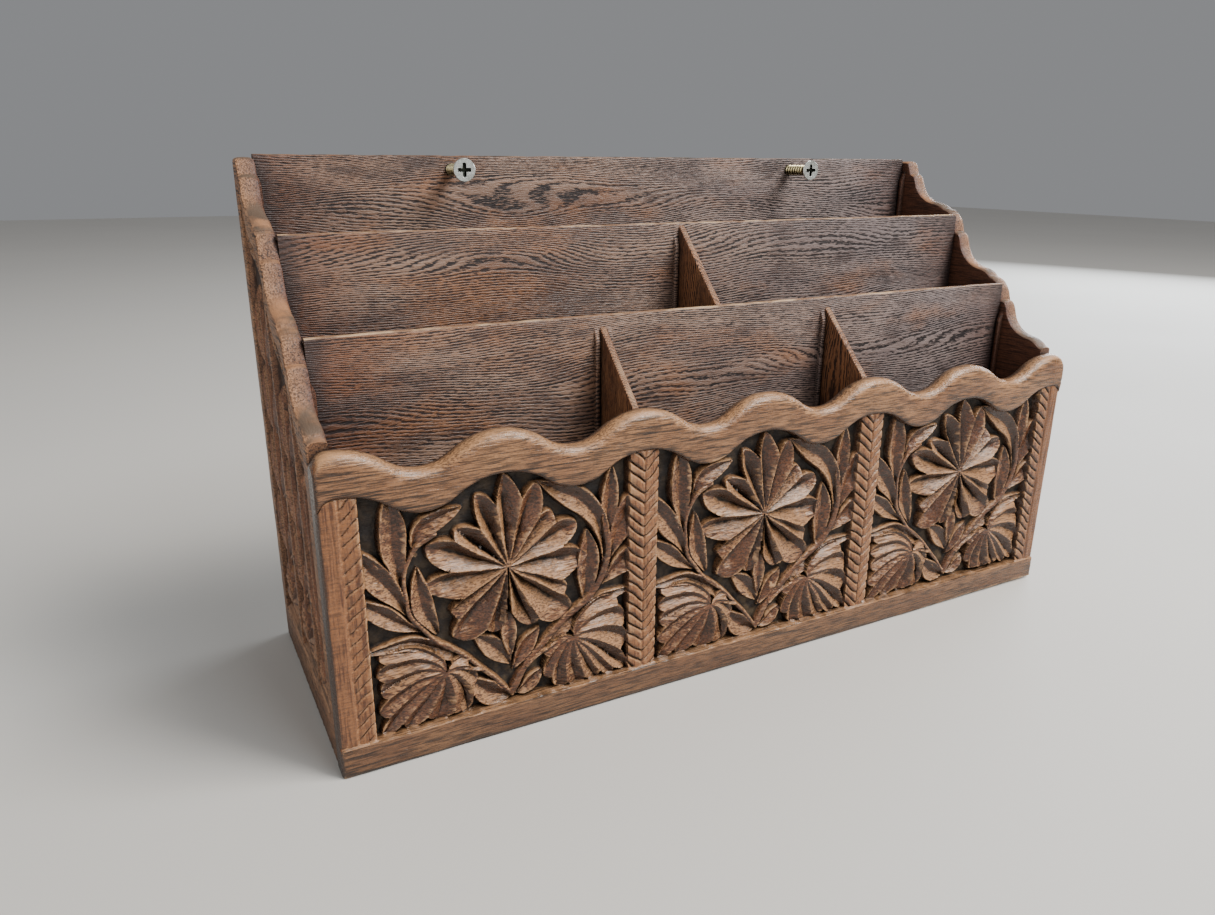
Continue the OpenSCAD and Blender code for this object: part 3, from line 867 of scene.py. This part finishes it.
def spray(c, root, tip_b, reach, leaves):
    """Upright stem with pairs of leaves and a closed bud, between two edges `reach` away."""
    a, b = root
    c.stem([(a, b), (a + 0.6, (b + tip_b) / 2), (a, tip_b - 6)], 2.2, 2.0)
    c.leaf([(a, tip_b - 9), (a + 0.4, tip_b - 4), (a, tip_b)], 4.6, 2.3)
    for i in range(leaves):
        start = b + (i + 0.25) * (tip_b - b) / (leaves + 0.4)
        rise = 0.8 * (tip_b - b) / leaves
        for side in (-1, 1):
            c.leaf([(a + side * 0.8, start), (a + side * 0.72 * reach, start + 0.42 * rise),
                    (a + side * reach, start + rise)], 0.62 * reach, 2.2)


def side_carving(a, b, top, field):
    """Height of the leaves, fans, upright ribs and bead in a side panel's sunk field."""
    c = Carving(a, b)
    front, rear, foot = field
    edges = [front, *DIVIDER_YS, rear]
    for low, high in zip(edges[:-1], edges[1:]):
        middle, reach = (low + high) / 2, (high - low) / 2
        lowest = np.interp([low + 2, high - 2], a[0], top).min()
        fan_b = foot + 0.62 * reach
        tips = [(middle + reach * 0.95 * math.cos(t), fan_b + reach * 0.95 * math.sin(t))
                for t in np.linspace(-0.35, math.pi + 0.35, 9)]
        c.rosette((middle, fan_b), petals_between(tips, (middle, fan_b)), height=2.3, slope=0.7)
        leaves = max(2, int((lowest - 40) / 26))
        spray(c, (middle, fan_b + reach * 0.8), lowest - 17, reach - 1.6, leaves)
    for y in DIVIDER_YS:
        c.add(2.2 * inside(1.5 - np.abs(a - y)) * inside(top - 15 - b))
    bead = np.clip(1 - ((top - b - 12.5) / 1.7) ** 2, 0, 1)
    c.add(2.3 * np.sqrt(bead))
    return c.height


def side_relief(a, b, top):
    """Depth of a side panel's outer face behind its foremost plane, in mm."""
    ground = 2.6
    strip, rail, band = 7.0, 14.0, 9.0
    low, high = SIDE_LOW[1], SIDE_HIGH[1]
    field = (low + strip, high - strip, rail)
    edge = np.minimum(np.minimum(a - field[0], field[1] - a), np.minimum(b - rail, top - band - b))
    carving = side_carving(a, b, top, field)
    depth = ground - carving + 0.1 * waves(a, b, 51, (4, 4))
    frame_face = 0.12 + 0.08 * waves(a, b, 52, (3, 16)) + edge_roll(-edge, 0.9)
    depth = depth + (frame_face - depth) * inside(-edge, 0.3)
    rolled = edge_roll(a - low, 0.8) + edge_roll(high - a, 0.8) + edge_roll(b, 0.8)
    # The field's foot slopes out to the rail, as a ledge
    ledge = ground * (1 - smooth((b - rail) / 3.2))
    sloped = ground - ledge * inside(a - field[0]) * inside(field[1] - a)
    depth = np.where(edge > 0, np.minimum(depth, sloped), depth)
    return np.clip(depth, 0, ground + 0.2) + rolled


def side_panel(name, node, sign):
    """Side panel with its carved outer face, and ribs inside for the ends of three boards."""
    low, high = SIDE_LOW[1] + HAIR, SIDE_HIGH[1] - HAIR
    inner_ribs = [r for y in DIVIDER_YS for r in pair(y, LONG_T)]
    inner_ribs.append(BACK_LOW[1] - RIB_GAP - RIB_W / 2)
    across = with_ribs(steps(low, high, 0.32), inner_ribs)
    top = blurred(top_line(node, across, 1, sign * (INNER_X + SIDE_T / 4)), 2)
    outer = INNER_X + SIDE_T
    # Where the ribs stop, unless the side's own top is lower
    rear_top, front_top = (box_mm(f"{row}_long_divider")[1][2] for row in ("rear", "front"))
    tops = [rear_top, rear_top, front_top, front_top, BACK_HIGH[2]]

    def rear(a, b):
        bumps = np.zeros(a.shape)
        for place, rib_top in zip(inner_ribs, tops):
            bumps = np.maximum(bumps, rib(a, b, [place], np.minimum(rib_top, top)))
        return INNER_X + rippled(a, b, 0.06, 53, (2.2, 30)) - bumps

    return relief_board(name, across, np.zeros(across.shape), top,
                        lambda a, b: outer - side_relief(a, b, top), rear, nose=1.6, square=0.75,
                        rows=420, rear_rows=110, place=lambda a, b, c: (sign * c, a, b),
                        flip=sign < 0)


def cross_board(name, node):
    """Small board from front to back, with a worn top edge that slopes down to the front."""
    low, high = box_mm(node)
    across = steps(low[1] + 0.01, high[1] - 0.01, 0.8)
    middle, half = (low[0] + high[0]) / 2, (high[0] - low[0]) / 2
    top = top_line(node, across, 1, middle) - 0.15 * np.clip(waves(across, 0, 61, (9, 9)), 0, None)
    return relief_board(name, across, low[2], top,
                        face=lambda a, b: half - rippled(a, b, 0.05, 62, (2.4, 30)),
                        rear=lambda a, b: -half + rippled(a, b, 0.05, 63, (2.4, 30)),
                        nose=0.6, square=0.8, rows=160, rear_rows=160,
                        place=lambda a, b, c: (middle + c, a, b), flip=False)


def base_panel(name):
    """Floor of the compartments, with a slightly uneven moulded surface."""
    across = steps(BASE_LOW[0], BASE_HIGH[0], 2.5)
    return relief_board(name, across, BASE_LOW[1], np.full(across.shape, BASE_HIGH[1]),
                        face=lambda a, b: BASE_HIGH[2] - rippled(a, b, 0.05, 71, (30, 4)),
                        rear=lambda a, b: BASE_LOW[2] + rippled(a, b, 0.1, 72, (25, 25)),
                        nose=0.5, square=0.8, rows=60, rear_rows=60,
                        place=lambda a, b, c: (a, b, c), flip=False)


def screw(name, node):
    """Countersunk screw with a cross recess, a helical thread and a pointed tip. It is a ring of
    points round the screw's axis for each step from the recess's middle to the tip."""
    low, high = box_mm(node)
    centre_x, centre_z = (low[0] + high[0]) / 2, (low[2] + high[2]) / 2
    length, head_r = high[1] - low[1], (high[0] - low[0]) / 2
    around = 120
    turn = np.linspace(0, 2 * math.pi, around, endpoint=False)[None, :]
    # Head face, with the cross recess cut in
    out = np.linspace(0.02, head_r - 0.25, 44)[:, None]
    across, up = out * np.cos(turn), out * np.sin(turn)
    upright = np.minimum(RECESS_W - np.abs(across), RECESS_L - np.abs(up))
    level = np.minimum(RECESS_W - np.abs(up), RECESS_L - np.abs(across))
    diamond = 1.15 - np.abs(across) - np.abs(up)
    cut = np.maximum(np.maximum(upright, level), diamond)
    depth_face = RECESS_D * inside(cut, 0.14) * (1 - 0.35 * out / RECESS_L).clip(0.2, 1)
    # Rim with a small bevel, cone, thread and tip
    bevel = 0.12
    down = np.concatenate([[0.0, bevel, RIM_H], np.linspace(RIM_H, length, 260)[1:]])[:, None]
    cone = head_r - (down - RIM_H) * (head_r - CORE_R) / CONE_H
    wind = (down / THREAD_PITCH - turn / (2 * math.pi)) % 1.0
    ridge = np.clip(1 - np.abs(wind - 0.5) / 0.3, 0, 1) ** 0.9
    in_tip = smooth((down - length + TIP_H) / TIP_H)
    fade = smooth((down - RIM_H - CONE_H) / 1.2) * (1 - in_tip)
    shank = CORE_R * (1 - in_tip * 0.96) + (THREAD_R - CORE_R) * ridge * fade
    radius = np.where(down < RIM_H + 0.001, head_r - bevel * (down < 0.01),
                      np.maximum(cone, shank))
    ring_r = np.vstack([np.broadcast_to(out, depth_face.shape), radius])
    ring_y = np.vstack([depth_face, np.broadcast_to(down, radius.shape)])
    points = np.stack([centre_x + ring_r * np.cos(turn), low[1] + ring_y,
                       centre_z + ring_r * np.sin(turn)], axis=-1).reshape(-1, 3) * MM
    rings = len(ring_r)
    faces = [(i * around + j, i * around + (j + 1) % around,
              (i + 1) * around + (j + 1) % around, (i + 1) * around + j)
             for i in range(rings - 1) for j in range(around)]
    faces.append(tuple(range(around))[::-1])
    faces.append(tuple((rings - 1) * around + j for j in range(around)))
    mesh = bpy.data.meshes.new(name)
    mesh.from_pydata(points.tolist(), [], faces)
    obj = linked(name, mesh)
    shade_smooth(obj, 35)
    return obj


# ------ the scene

# The camera, solved from the photograph: place in metres, yaw, pitch and roll in degrees
CAMERA_AT = (-0.1883, -0.28632, 0.17719)
CAMERA_TURNS = (27.88, 18.27, 0.33)
LENS_MM, SENSOR_MM = 26.56, 36.0
# Lights: name, place, height aimed at over the origin, width and height, watts and colour
LIGHTS = [
    ("key", (0.6, -0.55, 1.15), 0.08, (0.65, 0.65), 22, (1.0, 0.97, 0.94)),
    ("window", (0.55, -1.15, 1.1), 0.06, (1.1, 0.3), 12, (0.88, 0.94, 1.0)),
    ("rim", (1.35, 0.5, 0.42), 0.1, (0.8, 0.5), 14, (0.86, 0.93, 1.0)),
    ("fill", (-1.0, -0.9, 0.5), 0.08, (0.9, 0.9), 4, (1.0, 0.98, 0.96)),
]

def area_light(name, at, towards, size, power, colour):
    """Soft light, `size` metres wide and high, that faces a point."""
    light = bpy.data.lights.new(name, "AREA")
    light.shape = "RECTANGLE"
    light.size, light.size_y = size
    light.energy = power
    light.color = colour
    obj = linked(name, light)
    obj.location = at
    obj.rotation_euler = (Vector(towards) - Vector(at)).to_track_quat("-Z", "Y").to_euler()


def floor():
    bpy.ops.mesh.primitive_plane_add(size=6.0, location=(0, 0, 0))
    obj = bpy.context.active_object
    obj.name = "floor"
    s = Shade("floor_pale")
    mottle = s.noise((400.0, 400.0, 400.0), detail=3.0)
    colour = s.mix(mottle, tone(222, 218, 210), tone(214, 210, 203))
    obj.data.materials.append(s.finish(colour, s.between(mottle, 0.2, 0.8, 0.6, 0.7),
                                       s.bump(s.noise((1.5, 1.5, 1.5)), 0.05, 0.3)))


def camera():
    """Camera at the photograph's place: yaw from +Y towards +X, pitch down and a slight roll."""
    yaw, pitch, roll = (math.radians(turn) for turn in CAMERA_TURNS)
    forward = Vector((math.sin(yaw) * math.cos(pitch), math.cos(yaw) * math.cos(pitch),
                      -math.sin(pitch)))
    level = Vector((math.cos(yaw), -math.sin(yaw), 0))
    upright = level.cross(forward)
    right = level * math.cos(roll) + upright * math.sin(roll)
    up = upright * math.cos(roll) - level * math.sin(roll)
    data = bpy.data.cameras.new("camera")
    data.sensor_fit = "HORIZONTAL"
    data.sensor_width = SENSOR_MM
    data.lens = LENS_MM
    data.clip_start = 0.01
    obj = linked("camera", data)
    turned = Matrix((right, up, -forward)).transposed().to_4x4()
    obj.matrix_world = Matrix.Translation(CAMERA_AT) @ turned
    bpy.context.scene.camera = obj


def lights():
    world = bpy.data.worlds.new("soft")
    world.use_nodes = True
    background = world.node_tree.nodes["Background"]
    background.inputs["Color"].default_value = tone(236, 238, 242)
    background.inputs["Strength"].default_value = 0.3
    bpy.context.scene.world = world
    for name, at, aim_z, size, power, colour in LIGHTS:
        area_light(name, at, (0, 0, aim_z), size, power, colour)


# Tones by use, with the edges' wear, the raised parts' roughness, and the bare and stained top; the
# under and lit tones are painted shade and painted light
FRONT_TONES = {
    "ground": tone(32, 23, 18), "dust": tone(98, 79, 55), "leaf": tone(94, 56, 35),
    "leaf_light": tone(120, 75, 48), "rail": tone(140, 97, 66), "rail_light": tone(166, 120, 82),
    "stile": tone(148, 98, 62), "under": tone(50, 31, 22), "lit": tone(198, 148, 104),
    "edge": tone(190, 148, 108), "inner": tone(88, 66, 52), "wear": 0.9, "rough": 0.27,
}
SIDE_TONES = {
    "ground": tone(44, 25, 17), "dust": tone(96, 70, 50), "leaf": tone(116, 68, 44),
    "leaf_light": tone(150, 97, 64), "rail": tone(148, 103, 71), "rail_light": tone(178, 130, 91),
    "under": tone(54, 31, 21), "lit": tone(190, 144, 108), "edge": tone(186, 146, 110),
    "inner": tone(106, 66, 46), "wear": 0.5, "rough": 0.5,
    "top": (tone(168, 120, 84), tone(100, 82, 67)),
}
BOARD_TONES = {
    # stain also paints the shadow at the boards' ends, red tints the painted shade beside the side
    # panels, and the cool grey is a painted sheen
    "line": tone(34, 24, 22), "wood": tone(112, 84, 69), "pale": tone(148, 117, 97),
    "warm_line": tone(58, 33, 22), "warm": tone(150, 100, 64), "stain": tone(54, 38, 34),
    "dust": tone(140, 118, 102), "bare": tone(206, 172, 134), "bare_dark": tone(140, 104, 76),
    "painted_sheen": tone(132, 124, 126), "red": tone(178, 140, 122),
}
CROSS_TONES = {
    "line": tone(50, 30, 20), "wood": tone(132, 88, 60), "pale": tone(164, 114, 78),
    "warm_line": tone(62, 36, 22), "warm": tone(160, 104, 64), "stain": tone(70, 44, 30),
    "dust": tone(140, 116, 96), "bare": tone(206, 170, 132), "bare_dark": tone(140, 100, 70),
}

keep(front_panel(), "front_panel",
     carved("carved_front_wood", 1, FRONT_LOW[1], 1, 4.5, FRONT_TONES, stiles=True))
for side, node, sign in (("left", "left_side_panel", -1), ("right", "right_side_panel", 1)):
    keep(side_panel(f"carved_{side}_side", node, sign), node,
         carved(f"carved_{side}_wood", 0, sign * SIDE_HIGH[0], -sign, 2.3, SIDE_TONES))

# The long boards, each with the places of its front and rear ribs
cross_low, cross_high = box_mm("front_right_cross_divider")
cross_t, cross_x = cross_high[0] - cross_low[0], (cross_high[0] + cross_low[0]) / 2
long_boards = (
    ("back_grain", "back_board", [], []),
    ("rear_divider_grain", "rear_long_divider", pair(0, cross_t), []),
    ("front_divider_grain", "front_long_divider", pair(cross_x, cross_t) + pair(-cross_x, cross_t),
     pair(0, cross_t)),
)
for i, (name, node, front_ribs, rear_ribs) in enumerate(long_boards):
    board = long_board(name, node, front_ribs, rear_ribs)
    if node == "back_board":
        for side in ("left", "right"):
            low, high = box_mm(f"{side}_hanging_screw")
            middle = (low + high) / 2
            drilled(board, (middle[0], middle[2]), HOLE_R, BACK_LOW[1] - 2, BACK_HIGH[1] + 2)
    keep(board, node,
         grained(f"{name}_wood", 0, 2, BOARD_TONES, 70.0 * i, 0.42, 1.0 if i else 0.15))
keep(base_panel("floor_grain"), "base_board",
     grained("base_wood", 0, 1, BOARD_TONES, 300.0, 0.5))
cross_wood = grained("cross_wood", 2, 1, CROSS_TONES, 500.0, 0.42, 1.0)
for node in ("middle_cross_divider", "front_left_cross_divider", "front_right_cross_divider"):
    keep(cross_board(node.replace("divider", "grain"), node), node, cross_wood)
steel = zinc("screw_zinc")
for side in ("left", "right"):
    node = f"{side}_hanging_screw"
    keep(screw(f"{side}_zinc_screw", node), node, steel)

floor()
lights()
camera()
